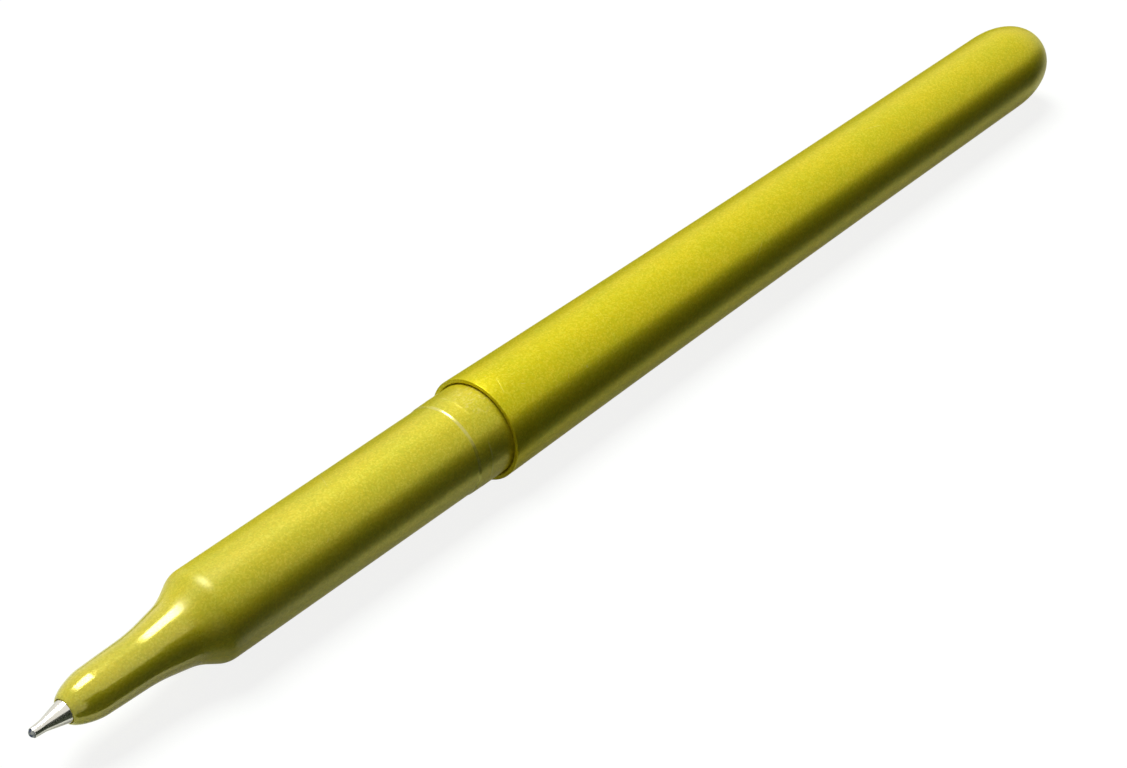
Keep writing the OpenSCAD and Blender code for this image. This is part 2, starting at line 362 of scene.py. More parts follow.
# %% Helpers: close a shell
def turned(name, profile, points=RING_POINTS):
    """A closed shell from a profile of (station, radius) pairs. Radius 0 at an end makes a pole."""
    rings = [p for p in profile if p[1] > 0]
    piece = start_ring(name, *rings[0], points)
    for before, after in zip(rings, rings[1:]):
        next_ring(before, after)
    if profile[-1][1] == 0:
        close_pole(profile[-1][0] - rings[-1][0])
        select_first_ring(piece, points)
        close_pole(profile[0][0] - rings[0][0])
    else:
        next_ring(rings[-1], rings[0])
    bpy.ops.mesh.select_all(action="SELECT")
    bpy.ops.mesh.remove_doubles(threshold=0.000002)
    bpy.ops.mesh.normals_make_consistent(inside=False)
    bpy.ops.object.mode_set(mode="OBJECT")
    return piece


def close_pole(distance):
    """Extrudes the selected ring along the pen and merges the copy into one point on the axis."""
    bpy.ops.mesh.extrude_region_move(TRANSFORM_OT_translate={"value": (distance * MM, 0.0, 0.0)})
    bpy.ops.mesh.merge(type="CENTER")


def select_first_ring(piece, points):
    """Selects the ring that the piece was started from, which holds its first points."""
    bpy.ops.mesh.select_all(action="DESELECT")
    bpy.ops.object.mode_set(mode="OBJECT")
    for vertex in piece.data.vertices:
        vertex.select = vertex.index < points
    bpy.ops.object.mode_set(mode="EDIT")
    bpy.ops.mesh.select_mode(type="VERT")


# %% [markdown]
# Mould lines and turned shoulders stay crisp, and everything rounder is shaded smooth, so the
# angle decides. The other helper says what was made.

# %% Helpers: shade and report a piece
def smooth(piece, degrees=35.0):
    """Smooth shading, with edges sharper than the angle kept crisp."""
    deselect()
    piece.select_set(True)
    bpy.context.view_layer.objects.active = piece
    bpy.ops.object.shade_smooth_by_angle(angle=math.radians(degrees))


def report(piece):
    """Says how large a finished piece is."""
    faces = len(piece.data.polygons)
    print(piece.name, "has", faces, "faces and is",
          [round(d / MM, 2) for d in piece.dimensions], "mm")


# %% [markdown]
# ## The rear barrel
#
# The barrel is one moulding: a tube with a thin open mouth and a domed end, 97 mm long. Its
# outside is widest at the mouth and narrows less and less, down to a true cylinder in front of
# the dome, so that it leaves its mould. A solidified cylinder would give one wall all over, but
# the real mouth is thinner than the rest, so both the outside and the inside are drawn, from
# the lip round the dome and back up the bore to the lip. Three helpers make the usual parts of
# a profile: a rounded edge, a dome and a straight wall.

# %% Helpers: parts of a profile
DOME_POWER = 3.0       # 2 would be an ellipse


def arc(start, end, steps):
    """A quarter round from start to end that bulges outwards."""
    points = []
    for i in range(steps + 1):
        a = math.pi / 2 * i / steps
        points.append((start[0] + (end[0] - start[0]) * (1 - math.cos(a)),
                       start[1] + (end[1] - start[1]) * math.sin(a)))
    return points


def dome(radius, station, length, steps=28):
    """Half of a squared ellipse, from the wall to the pole."""
    points = []
    for i in range(1, steps):
        a = math.pi / 2 * i / steps
        points.append((station + length * math.sin(a), radius * math.cos(a) ** (2 / DOME_POWER)))
    return points + [(station + length, 0.0)]


def straight_wall(start, end, steps):
    """Rings from start to end, without the first."""
    return [tuple(a + (b - a) * i / steps for a, b in zip(start, end)) for i in range(1, steps + 1)]


# %% [markdown]
# The barrel's extra width over its true cylinder falls with the square of the distance that is
# left to the cylinder, so it narrows less and less. These rings start behind the lip's edge.

# %% Barrel outside
LIP_ROUND = 0.06       # edge of the mouth
DOME_LENGTH = 7.3


def drawn_wall(steps=24):
    """The barrel's outside from the lip to the true cylinder, which narrows less and less."""
    start = MOUTH + LIP_ROUND
    return [(start + (STRAIGHT - start) * i / steps,
             END_R + (MOUTH_R - END_R) * (1 - i / steps) ** 2) for i in range(1, steps + 1)]


barrel_outside = arc((MOUTH, MOUTH_R - LIP_ROUND), (MOUTH + LIP_ROUND, MOUTH_R), 4)
barrel_outside += drawn_wall()
barrel_outside += straight_wall((STRAIGHT, END_R), (DOME, END_R), 6)
barrel_outside += dome(END_R, DOME, DOME_LENGTH)
print("barrel outside:", len(barrel_outside), "rings")

# %% [markdown]
# Inside, the thin mouth ends at a step, and a low ring behind the step snaps into the sleeve's
# groove. The two shells, outside and inside, each close in a pole at the dome, and meet at the
# lip, so the barrel is drawn as one profile from the inner pole to the outer pole.

# %% Barrel inside
RUN_GAP = 0.06         # between barrel and sleeve
MOUTH_BORE_R = SLEEVE_R + RUN_GAP
SNAP = LAND_END + 2.0  # front of the snap ring
SNAP_DEPTH = 0.25
SNAP_LENGTH = 0.8
END_WALL = 1.2
BARREL_WALL = 1.0

inner_dome = dome(END_R - BARREL_WALL, DOME, DOME_LENGTH - END_WALL)
barrel_inside = list(reversed(inner_dome))
barrel_inside += [(DOME, END_R - BARREL_WALL)]
barrel_inside += [(TAIL_END + 0.45, BORE_R - 0.25), (TAIL_END + 0.2, BORE_R)]
barrel_inside += [(SNAP + SNAP_LENGTH, BORE_R), (SNAP + SNAP_LENGTH, BORE_R - SNAP_DEPTH),
                  (SNAP, BORE_R - SNAP_DEPTH), (SNAP - SNAP_DEPTH, BORE_R),
                  (LAND_END + 0.05, BORE_R)]
barrel_inside += [(LAND_END + 0.05, MOUTH_BORE_R), (MOUTH + 0.18, MOUTH_BORE_R),
                  (MOUTH + 0.04, MOUTH_BORE_R + 0.09), (MOUTH, MOUTH_BORE_R + 0.13)]

rear_barrel = turned("barrel_tube", barrel_inside + barrel_outside)
smooth(rear_barrel)
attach(rear_barrel, "barrel")
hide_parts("rear_barrel")
report(rear_barrel)

# %% [markdown]
# ## The front sleeve
#
# The sleeve is the other moulding. From the front it has a rounded nose, a neck that flares, a
# conical shoulder, a grip, and a land that stands a tenth of a millimetre proud and slides in
# the barrel's mouth. A thinner tail with a long groove runs on inside the barrel. The nose ends
# in a thin lip that closes round the metal cone. The CAD model stops where that lip starts, and
# here it is drawn out to its edge. The neck is almost a plain cone, and a hollow curve leads from
# it into the steeper shoulder: that is why its streak of light has straight sides and a clear
# end. Two helpers draw the curves that a straight line can't.

# %% Helpers: the sleeve's curves
NOSE_LIP = 3.35         # edge of the nose's lip
NOSE_LIP_R = 1.12
NOSE_FULL = NOSE + 1.8  # where the nose reaches its full width
NOSE_POWER = 1.45       # 2 would be an ellipse


def nose_round(steps=16):
    """From the edge of the nose's lip to its full width, leaner than an ellipse."""
    points = []
    for i in range(steps + 1):
        u = (i / steps) ** 1.5
        points.append((NOSE_LIP + (NOSE_FULL - NOSE_LIP) * u,
                       NOSE_LIP_R + (NOSE_R - NOSE_LIP_R)
                       * (1 - (1 - u) ** NOSE_POWER) ** (1 / NOSE_POWER)))
    return points


def soft_corner(a, corner, b, steps=5):
    """A curve from a to b that leaves towards the corner and arrives from it."""
    points = []
    for i in range(steps + 1):
        v = i / steps
        points.append(tuple((1 - v) ** 2 * p + 2 * v * (1 - v) * q + v * v * r
                            for p, q, r in zip(a, corner, b)))
    return points


# %% [markdown]
# The places where the outside turns come first. The shoulder's edge and the land's front edge
# are corners drawn soft, because a moulded edge is never quite sharp, and what softness it has
# is what catches the light.

# %% Corners of the sleeve
NECK_START, NECK_START_R = 10.0, 2.227  # a curve leads from here into the neck's cone
NECK_CONE, NECK_CONE_R = 12.6, 2.50     # where the neck's cone starts
NECK_MEETS, NECK_MEETS_R = 15.2, 2.994  # where it and the shoulder's cone would meet
HOLLOW = 0.9                            # half length of the hollow curve between the two
HOLLOW_FRONT_R, HOLLOW_BACK_R = 2.823, 3.495
SHOULDER_SOFT = 0.55                    # how far the shoulder's soft edge reaches to each side
LAND_STEP = 0.06                        # height of the step at the land's front edge
LAND_SLOPE = 1.6                        # from that edge to the ridge on the land
STEP_TOP_R = GRIP_R + LAND_STEP + 0.010

cone = math.atan2(SHOULDER_R - NECK_MEETS_R, SHOULDER - NECK_MEETS)
before_edge = (SHOULDER - SHOULDER_SOFT * math.cos(cone),
               SHOULDER_R - SHOULDER_SOFT * math.sin(cone))
after_edge = (SHOULDER + SHOULDER_SOFT, sleeve_radius(SHOULDER + SHOULDER_SOFT))
land_foot = (LAND_FRONT - 0.14, sleeve_radius(LAND_FRONT - 0.14))
land_edge = (LAND_FRONT + 0.08, GRIP_R + LAND_STEP)
ridge = LAND_FRONT + LAND_SLOPE
print("shoulder's cone:", round(math.degrees(cone), 1), "degrees, and the ridge at", ridge, "mm")

# %% [markdown]
# Now the outside, from the nose's lip to the part of the land that is inside the barrel. Rings
# stand closer together where the outline bends, and far apart on the straight grip.

# %% Sleeve outside
sleeve_outside = [(NOSE_LIP + 0.02, 1.09)] + nose_round()
sleeve_outside += straight_wall((NOSE_FULL, NOSE_R), (FLARE, FLARE_R), 4)
sleeve_outside += straight_wall((FLARE, FLARE_R), (NECK_START, NECK_START_R), 4)
sleeve_outside += soft_corner((NECK_START, NECK_START_R), (11.35, 2.263),
                              (NECK_CONE, NECK_CONE_R), 10)[1:]
sleeve_outside += straight_wall((NECK_CONE, NECK_CONE_R), (NECK_MEETS - HOLLOW, HOLLOW_FRONT_R), 5)
sleeve_outside += soft_corner((NECK_MEETS - HOLLOW, HOLLOW_FRONT_R), (NECK_MEETS, NECK_MEETS_R),
                              (NECK_MEETS + HOLLOW, HOLLOW_BACK_R), 10)[1:]
sleeve_outside += straight_wall((NECK_MEETS + HOLLOW, HOLLOW_BACK_R), before_edge, 3)[:-1]
sleeve_outside += soft_corner(before_edge, (SHOULDER, SHOULDER_R), after_edge)
sleeve_outside += straight_wall(after_edge, land_foot, 12)
sleeve_outside += soft_corner(land_foot, (LAND_FRONT - 0.02, GRIP_R), land_edge, 5)[1:]
sleeve_outside += soft_corner(land_edge, (LAND_FRONT + 0.14, STEP_TOP_R),
                              (LAND_FRONT + 0.34, STEP_TOP_R), 3)[1:]
sleeve_outside += straight_wall(sleeve_outside[-1], (ridge - 0.08, SLEEVE_R - 0.012), 3)
sleeve_outside += soft_corner((ridge - 0.08, SLEEVE_R - 0.012), (ridge, SLEEVE_R + 0.004),
                              (ridge + 0.10, SLEEVE_R), 4)[1:]
sleeve_outside += straight_wall((ridge + 0.10, SLEEVE_R), (MOUTH + 0.8, SLEEVE_R), 3)
print("sleeve outside:", len(sleeve_outside), "rings")

# %% [markdown]
# Behind the land the sleeve steps down to its tail. The barrel's snap ring travels in the long
# groove of the tail, and a deeper notch at each end holds the ring. The inside is a plain bore
# that narrows to a guide for the metal point. Their sizes are repeated here from the CAD model
# and not changed.

# %% Sleeve tail and inside
TAIL_R = BORE_R - RUN_GAP
TAIL_BORE_R = TAIL_R - 1.0
GROOVE_R = BORE_R - SNAP_DEPTH - RUN_GAP
NOTCH_R = GROOVE_R - 0.06
GUIDE_R = 1.56         # guide for the metal point
GUIDE_STEP = 8.35
NOSE_BORE_R = 1.21

sleeve_tail = [(LAND_END - 0.2, SLEEVE_R), (LAND_END, SLEEVE_R - 0.2), (LAND_END, TAIL_R),
               (SNAP - 0.35, TAIL_R), (SNAP - 0.35, NOTCH_R), (SNAP + 0.9, NOTCH_R),
               (SNAP + 0.96, GROOVE_R), (SNAP + 5.84, GROOVE_R), (SNAP + 5.9, NOTCH_R),
               (SNAP + 6.9, NOTCH_R), (SNAP + 6.9, TAIL_R),
               (TAIL_END - 0.25, TAIL_R), (TAIL_END, TAIL_R - 0.25)]
sleeve_inside = [(TAIL_END, TAIL_BORE_R), (SHOULDER + 0.3, TAIL_BORE_R),
                 (NECK_CORNER - 0.3, GUIDE_R), (GUIDE_STEP, GUIDE_R), (GUIDE_STEP, NOSE_BORE_R),
                 (NOSE + 0.1, NOSE_BORE_R), (NOSE_LIP + 0.06, 1.08)]

front_sleeve = turned("grip_sleeve", sleeve_outside + sleeve_tail + sleeve_inside)
smooth(front_sleeve)
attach(front_sleeve, "sleeve")
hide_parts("front_sleeve")
report(front_sleeve)

# %% [markdown]
# ## The writing point
#
# The metal point is turned from nickel silver wire: a slim cone that holds the ball, a wider
# cone, and a body that goes into the nose. Its rim is rolled over the ball, so the shell turns
# inwards there and runs back down the ball's seat.

# %% Point
POINT_R = 1.15
BALL_R = 0.4
BALL_SHOWS = 0.28      # the rim starts this far behind the front of the ball
CONE_START, CONE_END = 1.36, 3.8
POINT_END = 12.4
SEAT_R = 0.412

point_outside = [(BALL_SHOWS, 0.405), (BALL_SHOWS, 0.425), (BALL_SHOWS + 0.02, 0.435)]
point_outside += straight_wall((BALL_SHOWS + 0.02, 0.435), (1.26, 0.495), 4)
point_outside += soft_corner((1.26, 0.496), (1.3, 0.5), (CONE_START, 0.515), 2)
point_outside += straight_wall((CONE_START, 0.515), (CONE_END, 1.122), 8)
point_outside += soft_corner((CONE_END, 1.124), (3.9, POINT_R), (4.02, POINT_R), 4)
point_outside += [(8.3, POINT_R), (8.4, POINT_R - 0.1), (8.4, 0.8), (POINT_END, 0.8)]
point_inside = [(POINT_END, 0.45), (3.9, 0.45), (3.9, 0.2), (0.78, 0.2), (0.66, 0.318),
                (0.52, 0.394), (BALL_R, SEAT_R), (0.32, 0.404)]

writing_point = turned("metal_point", point_outside + point_inside, 96)
smooth(writing_point)
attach(writing_point, "refill")
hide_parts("writing_point")
report(writing_point)

# %% [markdown]
# ## The ball
#
# The ball is 0.8 mm of tungsten carbide. A sphere with poles would pinch its material at the
# poles, so a cube is subdivided and pushed out to a sphere, which gives even faces all round.
# Pushing out takes the mean distance of the cube's points, so the sphere is scaled to size after.

# %% Ball
ball_middle = (at(BALL_R), 0.0, AXIS)
deselect()
bpy.ops.mesh.primitive_cube_add(size=2 * BALL_R * MM, location=ball_middle)
writing_ball = bpy.context.object
writing_ball.name = "writing_ball"
bpy.ops.object.transform_apply(location=True, rotation=True, scale=True)
bpy.ops.object.mode_set(mode="EDIT")
bpy.ops.mesh.select_all(action="SELECT")
bpy.ops.mesh.subdivide(number_cuts=15)
bpy.ops.transform.tosphere(value=1.0)
bpy.ops.object.mode_set(mode="OBJECT")
grown = writing_ball.dimensions.x / (2 * BALL_R * MM)
bpy.ops.object.mode_set(mode="EDIT")
bpy.ops.mesh.select_all(action="SELECT")
bpy.ops.transform.resize(value=(1 / grown, 1 / grown, 1 / grown), center_override=ball_middle)
bpy.ops.object.mode_set(mode="OBJECT")
smooth(writing_ball, 60.0)
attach(writing_ball, "ball")
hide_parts("point_ball")
report(writing_ball)

# %% [markdown]
# ## The refill's socket
#
# Deep in the barrel, a short tube on four webs holds the tail of the refill. It is moulded with
# the barrel, and it is modelled on its own because its tube and webs aren't turned.

# %% Socket tube
SOCKET_FRONT = 116.0
SOCKET_END = 129.05
HOLD_R = 1.53          # holds the ink tube
SOCKET_R = 2.23

socket = turned("refill_socket", [(SOCKET_FRONT, HOLD_R + 0.15), (SOCKET_FRONT, SOCKET_R),
                                  (SOCKET_END, SOCKET_R), (SOCKET_END, 0.5),
                                  (SOCKET_END - 1.0, 0.5), (SOCKET_END - 1.0, HOLD_R),
                                  (SOCKET_FRONT + 0.15, HOLD_R)], 64)
report(socket)

# %% [markdown]
# The four webs are one plate each, moved out from the axis and turned into place. A rotate
# operator needs its centre named, because a script has no window that says where the pivot is.

# %% Webs
WEB_OUT = 3.0 * MM     # from the axis to the middle of a web
WEB_SIZE = (13.05 * MM, 1.9 * MM, 0.8 * MM)

socket_middle = ((at(SOCKET_FRONT) + at(SOCKET_END)) / 2, 0.0, AXIS)
webs = []
for quarter in range(4):
    deselect()
    bpy.ops.mesh.primitive_cube_add(size=1.0, location=socket_middle)
    web = bpy.context.object
    web.scale = WEB_SIZE
    bpy.ops.object.transform_apply(location=True, rotation=True, scale=True)
    bpy.ops.object.mode_set(mode="EDIT")
    bpy.ops.mesh.select_all(action="SELECT")
    bpy.ops.transform.translate(value=(0.0, WEB_OUT, 0.0))
    bpy.ops.transform.rotate(value=math.radians(45 + 90 * quarter), orient_axis="X",
                             center_override=(0.0, 0.0, AXIS))
    bpy.ops.object.mode_set(mode="OBJECT")
    webs.append(web)
deselect()
for web in webs:
    web.select_set(True)
socket.select_set(True)
bpy.context.view_layer.objects.active = socket
bpy.ops.object.join()
smooth(socket)
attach(socket, "barrel")
report(socket)

# %% [markdown]
# ## Finishes
#
# Every finish is built from noise and cells on the piece's own coordinates, in metres, so one
# helper makes the usual start: a principled shader, and a texture coordinate that stays on the
# piece when it moves. The patterns come next: soft noise, and small cells with a chance value.

# %% Helpers: a finish and its patterns
def finish(name):
    """A new material, with its node tree, its shader and its coordinates."""
    material = bpy.data.materials.new(name)
    material.use_nodes = True
    tree = material.node_tree
    place = tree.nodes.new("ShaderNodeTexCoord").outputs["Object"]
    return material, tree, tree.nodes["Principled BSDF"], place


def noise(tree, place, size, detail=2.0, stretch=(1.0, 1.0, 1.0)):
    """Soft noise whose features are about size millimetres across."""
    mapping = tree.nodes.new("ShaderNodeMapping")
    mapping.inputs["Scale"].default_value = stretch
    texture = tree.nodes.new("ShaderNodeTexNoise")
    texture.inputs["Scale"].default_value = 1.0 / (size * MM)
    texture.inputs["Detail"].default_value = detail
    tree.links.new(place, mapping.inputs["Vector"])
    tree.links.new(mapping.outputs["Vector"], texture.inputs["Vector"])
    return texture.outputs["Fac"]


def cells(tree, place, size, channel):
    """Cells of size millimetres: the distance from each one's middle, and a chance value."""
    texture = tree.nodes.new("ShaderNodeTexVoronoi")
    texture.inputs["Scale"].default_value = 1.0 / (size * MM)
    tree.links.new(place, texture.inputs["Vector"])
    split = tree.nodes.new("ShaderNodeSeparateColor")
    tree.links.new(texture.outputs["Color"], split.inputs["Color"])
    return texture.outputs["Distance"], split.outputs[channel]


# %% [markdown]
# Patterns are of use only when they reach the shader: as a mix of two colours, or as a height
# that tilts the surface a little. A bump's height is given in millimetres, like every measure.

# %% Helpers: mix colours, raise a surface
def blend_colours(tree, share, a, b):
    """Mixes two colours, each a tuple or a socket."""
    mix = tree.nodes.new("ShaderNodeMix")
    mix.data_type = "RGBA"
    for name, colour in (("A", a), ("B", b)):
        if isinstance(colour, tuple):
            mix.inputs[name].default_value = (*colour, 1.0)
        else:
            tree.links.new(colour, mix.inputs[name])
    tree.links.new(share, mix.inputs["Factor"])
    return mix.outputs["Result"]


def raised(tree, height, depth, before=None):
    """A bump whose full height is depth millimetres."""
    bump = tree.nodes.new("ShaderNodeBump")
    bump.inputs["Distance"].default_value = depth * MM
    tree.links.new(height, bump.inputs["Height"])
    if before is not None:
        tree.links.new(before, bump.inputs["Normal"])
    return bump.outputs["Normal"]


# %% [markdown]
# ### Satin plastic
#
# The plastic is filled with fine metal so that a detector finds it. Seen close, it has a grain
# of paler and darker flecks a seventh of a millimetre across, mottles of warmer and greener
# yellow, and a satin skin. The metal in it answers light as metal does, so the shader is part
# metallic: this gives the pearly look, with a broad bright side that falls off quickly.

# %% Grain of the satin plastic
PEARL = 0.42           # how metallic the plastic is
PALE = (0.80, 0.76, 0.24)
FLECK = 0.14           # this and the next two in millimetres
MOTTLE = 0.30
CLOUD = 2.2


def grained_colour(tree, place, warm, cool):
    """Warm and cool yellow in clouds and mottles, with paler and darker flecks."""
    clouds = spread(tree, noise(tree, place, CLOUD, 3.0, (0.5, 1.0, 1.0)), 0.0, 0.5, 0.35, 0.65)
    mottles = spread(tree, noise(tree, place, MOTTLE, 2.0), 0.0, 0.5, 0.35, 0.65)
    colour = blend_colours(tree, maths(tree, "ADD", clouds, mottles), warm, cool)
    fleck = cells(tree, place, FLECK, "Red")[1]
    colour = blend_colours(tree, spread(tree, fleck, 0.0, 0.09, 0.5, 1.0), colour, PALE)
    shaded = tree.nodes.new("ShaderNodeHueSaturation")
    tree.links.new(spread(tree, fleck, 0.90, 1.08, 0.0, 1.0), shaded.inputs["Value"])
    tree.links.new(colour, shaded.inputs["Color"])
    return shaded.outputs["Color"]


# %% [markdown]
# A pen that is carried and used gets small marks. Nicks are dots of paler plastic. Their cells
# fill space, and only a cell whose middle lies at the surface shows its dot, so the whole pen
# has just a few. Every other mark has a spot of its own, which is given by its station and by
# its place round the pen in degrees, where 90 is the top.

# %% Helpers: nicks and spots
def nicks(tree, place, size, radius):
    """1 in small balls of up to the radius, in about half of the cells. Both in millimetres."""
    distance, chance = cells(tree, place, size, "Green")
    return maths(tree, "LESS_THAN", distance, spread(tree, chance, 0.0, radius / size, 0.45, 1.0))


def vector_maths(tree, kind, a, b, output):
    """A vector sum of a socket and a fixed vector, of which one output is passed on."""
    node = tree.nodes.new("ShaderNodeVectorMath")
    node.operation = kind
    tree.links.new(a, node.inputs[0])
    node.inputs[1].default_value = b
    return node.outputs[output]


def spot(station, turn, radius):
    """The place in metres of a spot on a round surface."""
    a = math.radians(turn)
    return (at(station), radius * MM * math.cos(a), AXIS + radius * MM * math.sin(a))


def near(tree, place, middle, reach):
    """1 near a spot, fading to 0 at the reach in millimetres."""
    away = vector_maths(tree, "DISTANCE", place, middle, "Value")
    return spread(tree, away, 1.0, 0.0, 0.6 * reach * MM, reach * MM)


# %% [markdown]
# A scratch is straight: it lies where a tilted plane cuts the surface, and a ball round its
# middle says how long it is. So it needs its spot, its half length and its lean. Where marks
# cross, the stronger one counts.

# %% Helpers: scratches
def scratch(tree, place, middle, turn, half_length, lean, width=0.05):
    """1 on one straight scratch."""
    a, tilt = math.radians(turn), math.radians(lean)
    across = (math.cos(tilt), math.sin(tilt) * math.sin(a), -math.sin(tilt) * math.cos(a))
    from_middle = vector_maths(tree, "SUBTRACT", place, middle, "Vector")
    off = vector_maths(tree, "DOT_PRODUCT", from_middle, across, "Value")
    thin = spread(tree, maths(tree, "ABSOLUTE", off), 1.0, 0.0, 0.3 * width * MM, width * MM)
    return maths(tree, "MULTIPLY", thin, near(tree, place, middle, half_length))


def most(tree, values):
    """The largest of several values."""
    largest = values[0]
    for value in values[1:]:
        largest = maths(tree, "MAXIMUM", largest, value)
    return largest


# %% [markdown]
# The grain and the marks go into one material. The filler's grains roughen the skin a little,
# and a mark is a shallow dent whose bottom is paler.

# %% Helper: satin plastic
SKIN_GRAIN = 0.15      # this and the next two lines in millimetres
SKIN_DEPTH, MARK_DEPTH = 0.005, 0.006
NICK_CELL, NICK_R = 4.0, 0.16
MARK_PALE = 0.25       # how far a mark turns to the pale colour
ROUGH_LOW, ROUGH_HIGH = 0.32, 0.40


def satin_plastic(name, warm, cool, gloss, radius, scratches):
    """Filled olive-yellow plastic with its marks. Returns what a caller needs to add its own."""
    material, tree, shader, place = finish(name)
    grain = noise(tree, place, SKIN_GRAIN, 2.0)
    colour = grained_colour(tree, place, warm, cool)
    lines = [scratch(tree, place, spot(station, turn, radius), turn, half, lean)
             for station, turn, half, lean in scratches]
    marks = most(tree, [nicks(tree, place, NICK_CELL, NICK_R)] + lines)
    colour = blend_colours(tree, maths(tree, "MULTIPLY", marks, MARK_PALE), colour, PALE)
    tree.links.new(colour, shader.inputs["Base Color"])
    rough = spread(tree, grain, ROUGH_LOW, ROUGH_HIGH)
    tree.links.new(rough, shader.inputs["Roughness"])
    skin = raised(tree, grain, SKIN_DEPTH)
    dented = raised(tree, maths(tree, "SUBTRACT", 1.0, marks), MARK_DEPTH, skin)
    tree.links.new(dented, shader.inputs["Normal"])
    shader.inputs["Metallic"].default_value = PEARL
    shader.inputs["Specular IOR Level"].default_value = gloss
    return material, tree, shader, place, rough, colour


# %% [markdown]
# The barrel gets the plastic as it is. Each of its scratches is a station, a place round the pen,
# a half length and a lean. The longer ones are where hands, pockets and the table touch it most.

# %% Satin plastic on the barrel
BARREL_WARM, BARREL_COOL = (0.71, 0.585, 0.008), (0.60, 0.56, 0.008)
BARREL_GLOSS = 0.06
BARREL_SCRATCHES = [(52.0, 110.0, 1.0, -23.0), (54.0, 122.0, 0.3, 60.0),
                    (58.8, 142.0, 0.3, -50.0), (74.0, 62.0, 2.2, 35.0),
                    (88.0, 150.0, 1.6, -55.0), (96.0, 20.0, 3.0, 12.0),
                    (113.0, 100.0, 1.2, 70.0), (127.0, 200.0, 2.8, -20.0),
                    (68.0, 285.0, 2.4, 40.0)]

barrel_plastic = satin_plastic("satin_barrel_plastic", BARREL_WARM, BARREL_COOL, BARREL_GLOSS,
                               MOUTH_R, BARREL_SCRATCHES)[0]
rear_barrel.data.materials.append(barrel_plastic)
socket.data.materials.clear()
socket.data.materials.append(barrel_plastic)
print("barrel finish:", barrel_plastic.name, "with", len(barrel_plastic.node_tree.nodes), "nodes")

# %% [markdown]
# The mould of the sleeve was polished at the nose and the neck. So the sleeve's roughness
# follows the station, and so does its pearl, which is least on the shoulder's cone, where a
# clear skin lies over the grains of metal. The barrel's mouth rubs the land as the pen is
# opened and closed, which makes its front edge smoother, so that it shines, and leaves paler
# rings and scuffs. The paler rings at the front edge and at the ridge are partly wear and partly
# painted highlight. One material does it all, because separate ones would meet in a hard line.

# %% Satin plastic for the sleeve, polished at the nose and neck
SLEEVE_WARM, SLEEVE_COOL = (0.67, 0.56, 0.012), (0.57, 0.535, 0.012)
SLEEVE_GLOSS = 0.40
SLEEVE_SCRATCHES = [(28.6, 142.0, 0.35, -63.0), (19.6, 173.0, 0.3, 50.0),
                    (33.0, 70.0, 1.8, -30.0), (39.0, 215.0, 1.2, 50.0),
                    (27.0, 290.0, 2.0, 15.0)]


def ramp(tree, along, start, end, low=0.0, high=1.0):
    """A value that goes from low at one station to high at another."""
    return spread(tree, along, low, high, at(start), at(end))


def band(tree, along, start, end, soft):
    """1 between two stations and 0 elsewhere, with soft edges."""
    return maths(tree, "MULTIPLY", ramp(tree, along, start - soft, start),
                 ramp(tree, along, end, end + soft, 1.0, 0.0))


sleeve_plastic, tree, shader, place, rough, colour = satin_plastic(
    "satin_sleeve_plastic", SLEEVE_WARM, SLEEVE_COOL, SLEEVE_GLOSS, SLEEVE_R, SLEEVE_SCRATCHES)
split = tree.nodes.new("ShaderNodeSeparateXYZ")
tree.links.new(place, split.inputs["Vector"])
along = split.outputs["X"]
polish = ramp(tree, along, NECK_CORNER - 1.2, NECK_CORNER + 0.2, 1.0, 0.0)
# band at the land's front edge: smoother here, and below it is also painted paler as a painted
# highlight
rubbed_and_sheen_edge = band(tree, along, LAND_FRONT - 0.12, LAND_FRONT + 0.12, 0.06)
less_rough = maths(tree, "ADD", maths(tree, "MULTIPLY", polish, -0.20),
                   maths(tree, "MULTIPLY", rubbed_and_sheen_edge, -0.15))
tree.links.new(maths(tree, "ADD", rough, less_rough), shader.inputs["Roughness"])
grip_pearl = ramp(tree, along, SHOULDER - 0.4, SHOULDER + 18.0, 0.05, 0.34)
neck_pearl = maths(tree, "MULTIPLY", polish, 0.20)
tree.links.new(maths(tree, "MAXIMUM", grip_pearl, neck_pearl), shader.inputs["Metallic"])
tree.links.new(maths(tree, "MULTIPLY", polish, 0.45), shader.inputs["Coat Weight"])
shader.inputs["Coat Roughness"].default_value = 0.10

# %% [markdown]
# Wear is patchy: the rings that the mouth rubs are paler only here and there, and the scuffs lie
# together on the upper side, in front of the mouth, where a thumb pushes the pen shut. The paler
# rings are partly wear and partly painted highlight: the land's front edge and its ridge get a
# paler colour that stands in for the light that they catch.

# %% Wear and painted highlight on the sleeve's land
# pale colour of the scuffs and of the paler rings, which are partly painted highlight
RUBBED_AND_SHEEN_PALE = (0.86, 0.82, 0.42)
THUMB_STATION, THUMB_TURN, THUMB_REACH = 49.4, 100.0, 2.2

patches = spread(tree, noise(tree, place, 1.6, 2.0, (1.0, 0.6, 0.6)), 0.0, 1.0, 0.42, 0.62)
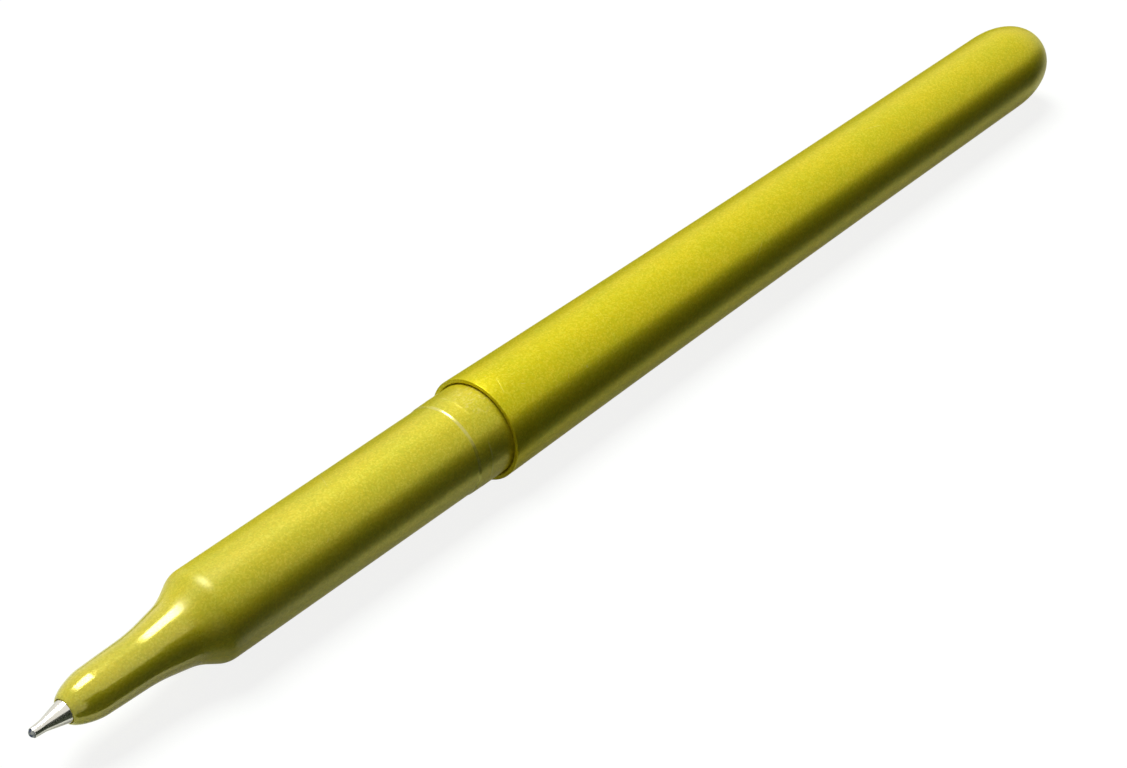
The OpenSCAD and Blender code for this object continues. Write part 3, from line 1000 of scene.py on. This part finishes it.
# painted highlight: the front edge and the ridge are painted paler in patches, partly wear and
# partly standing in for the light these edges catch
on_ridge = band(tree, along, ridge - 0.05, ridge + 0.05, 0.04)
rings = maths(tree, "MAXIMUM", rubbed_and_sheen_edge, on_ridge)
rings = maths(tree, "MULTIPLY", rings, maths(tree, "MULTIPLY", patches, 0.30))
specks = spread(tree, noise(tree, place, 0.20, 1.0, (0.5, 1.0, 1.0)), 0.0, 0.16, 0.50, 0.66)
thumbed = near(tree, place, spot(THUMB_STATION, THUMB_TURN, SLEEVE_R), THUMB_REACH)
wear_and_sheen = maths(tree, "MAXIMUM", rings, maths(tree, "MULTIPLY", specks, thumbed))
tree.links.new(blend_colours(tree, wear_and_sheen, colour, RUBBED_AND_SHEEN_PALE), shader.inputs["Base Color"])
front_sleeve.data.materials.append(sleeve_plastic)
print("sleeve finish:", sleeve_plastic.name, "with", len(sleeve_plastic.node_tree.nodes), "nodes")

# %% [markdown]
# ### Metals
#
# The point is polished nickel silver. The lathe leaves fine rings in it, so its noise is drawn
# out round the pen, and years of handling dull it in clouds.

# %% Point metal
NICKEL_BRIGHT, NICKEL_DULL = (0.80, 0.78, 0.70), (0.66, 0.63, 0.55)

point_metal, tree, shader, place = finish("turned_nickel_silver")
lathe_rings = noise(tree, place, 0.05, 2.0, (1.0, 0.02, 0.02))
tarnish = noise(tree, place, 0.6, 3.0)
tree.links.new(blend_colours(tree, tarnish, NICKEL_BRIGHT, NICKEL_DULL),
               shader.inputs["Base Color"])
tree.links.new(spread(tree, lathe_rings, 0.12, 0.24), shader.inputs["Roughness"])
tree.links.new(raised(tree, lathe_rings, 0.002), shader.inputs["Normal"])
shader.inputs["Metallic"].default_value = 1.0
writing_point.data.materials.append(point_metal)
print("point finish:", point_metal.name)

# %% [markdown]
# The ball is tungsten carbide, darker and harder than the point, and its surface has tiny pits
# that carry the ink. A thin film of blue ink lies on parts of it.

# %% Ball metal
CARBIDE, INKED = (0.26, 0.27, 0.25), (0.03, 0.04, 0.08)

ball_metal, tree, shader, place = finish("inked_tungsten_carbide")
film = spread(tree, noise(tree, place, 0.25, 3.0), 0.0, 1.0, 0.4, 0.6)
pits = noise(tree, place, 0.03, 1.0)
tree.links.new(blend_colours(tree, film, CARBIDE, INKED), shader.inputs["Base Color"])
tree.links.new(spread(tree, pits, 0.14, 0.26), shader.inputs["Roughness"])
tree.links.new(raised(tree, pits, 0.001), shader.inputs["Normal"])
shader.inputs["Metallic"].default_value = 1.0
writing_ball.data.materials.append(ball_metal)
print("ball finish:", ball_metal.name)

# %% [markdown]
# ### Inside the pen
#
# The holder, the ink tube, the ink and the grease keep their CAD shapes, which are right, and
# get finishes of their own. They show when the pen is taken apart.

# %% Helpers: finishes of the refill
def dress(node, material):
    """Gives a CAD node's object a new finish in place of its plain one."""
    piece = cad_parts[node]
    if not piece.material_slots:
        piece.data.materials.append(material)
    for slot in piece.material_slots:
        slot.material = material
    print(node, "keeps its shape:", len(piece.data.polygons), "faces")


def moulded(name, a, b, size, rough_low, rough_high, depth):
    """A simple moulded or set stuff: two close colours in clouds, and a fine skin."""
    material, tree, shader, place = finish(name)
    clouds = noise(tree, place, size, 3.0)
    fine = noise(tree, place, size / 8, 2.0)
    tree.links.new(blend_colours(tree, clouds, a, b), shader.inputs["Base Color"])
    tree.links.new(spread(tree, fine, rough_low, rough_high), shader.inputs["Roughness"])
    tree.links.new(raised(tree, fine, depth), shader.inputs["Normal"])
    return material, shader


# %% [markdown]
# The holder is milky plastic that lets light in a little way, so it scatters under its skin. The
# tube is clear enough to show how much ink is left. The ink is glossy and almost black where it
# is deep, and the grease behind it is pale and half clear.

# %% Finishes of the refill
holder_plastic, shader = moulded("natural_holder_plastic", (0.82, 0.83, 0.80),
                                 (0.74, 0.76, 0.73), 1.5, 0.30, 0.45, 0.004)
shader.inputs["Subsurface Weight"].default_value = 0.2
shader.inputs["Subsurface Scale"].default_value = 0.001
dress("tip_holder", holder_plastic)

tube_plastic, shader = moulded("clear_tube_plastic", (0.90, 0.93, 0.94),
                               (0.84, 0.88, 0.90), 2.5, 0.18, 0.30, 0.003)
shader.inputs["Transmission Weight"].default_value = 0.8
shader.inputs["IOR"].default_value = 1.5
dress("refill_tube", tube_plastic)

ink, shader = moulded("blue_ink", (0.010, 0.030, 0.30), (0.006, 0.015, 0.20),
                      2.0, 0.10, 0.20, 0.004)
dress("ink_column", ink)

grease, shader = moulded("follower_grease", (0.84, 0.80, 0.62), (0.76, 0.70, 0.50),
                         1.2, 0.12, 0.25, 0.006)
shader.inputs["Transmission Weight"].default_value = 0.4
dress("follower_grease", grease)
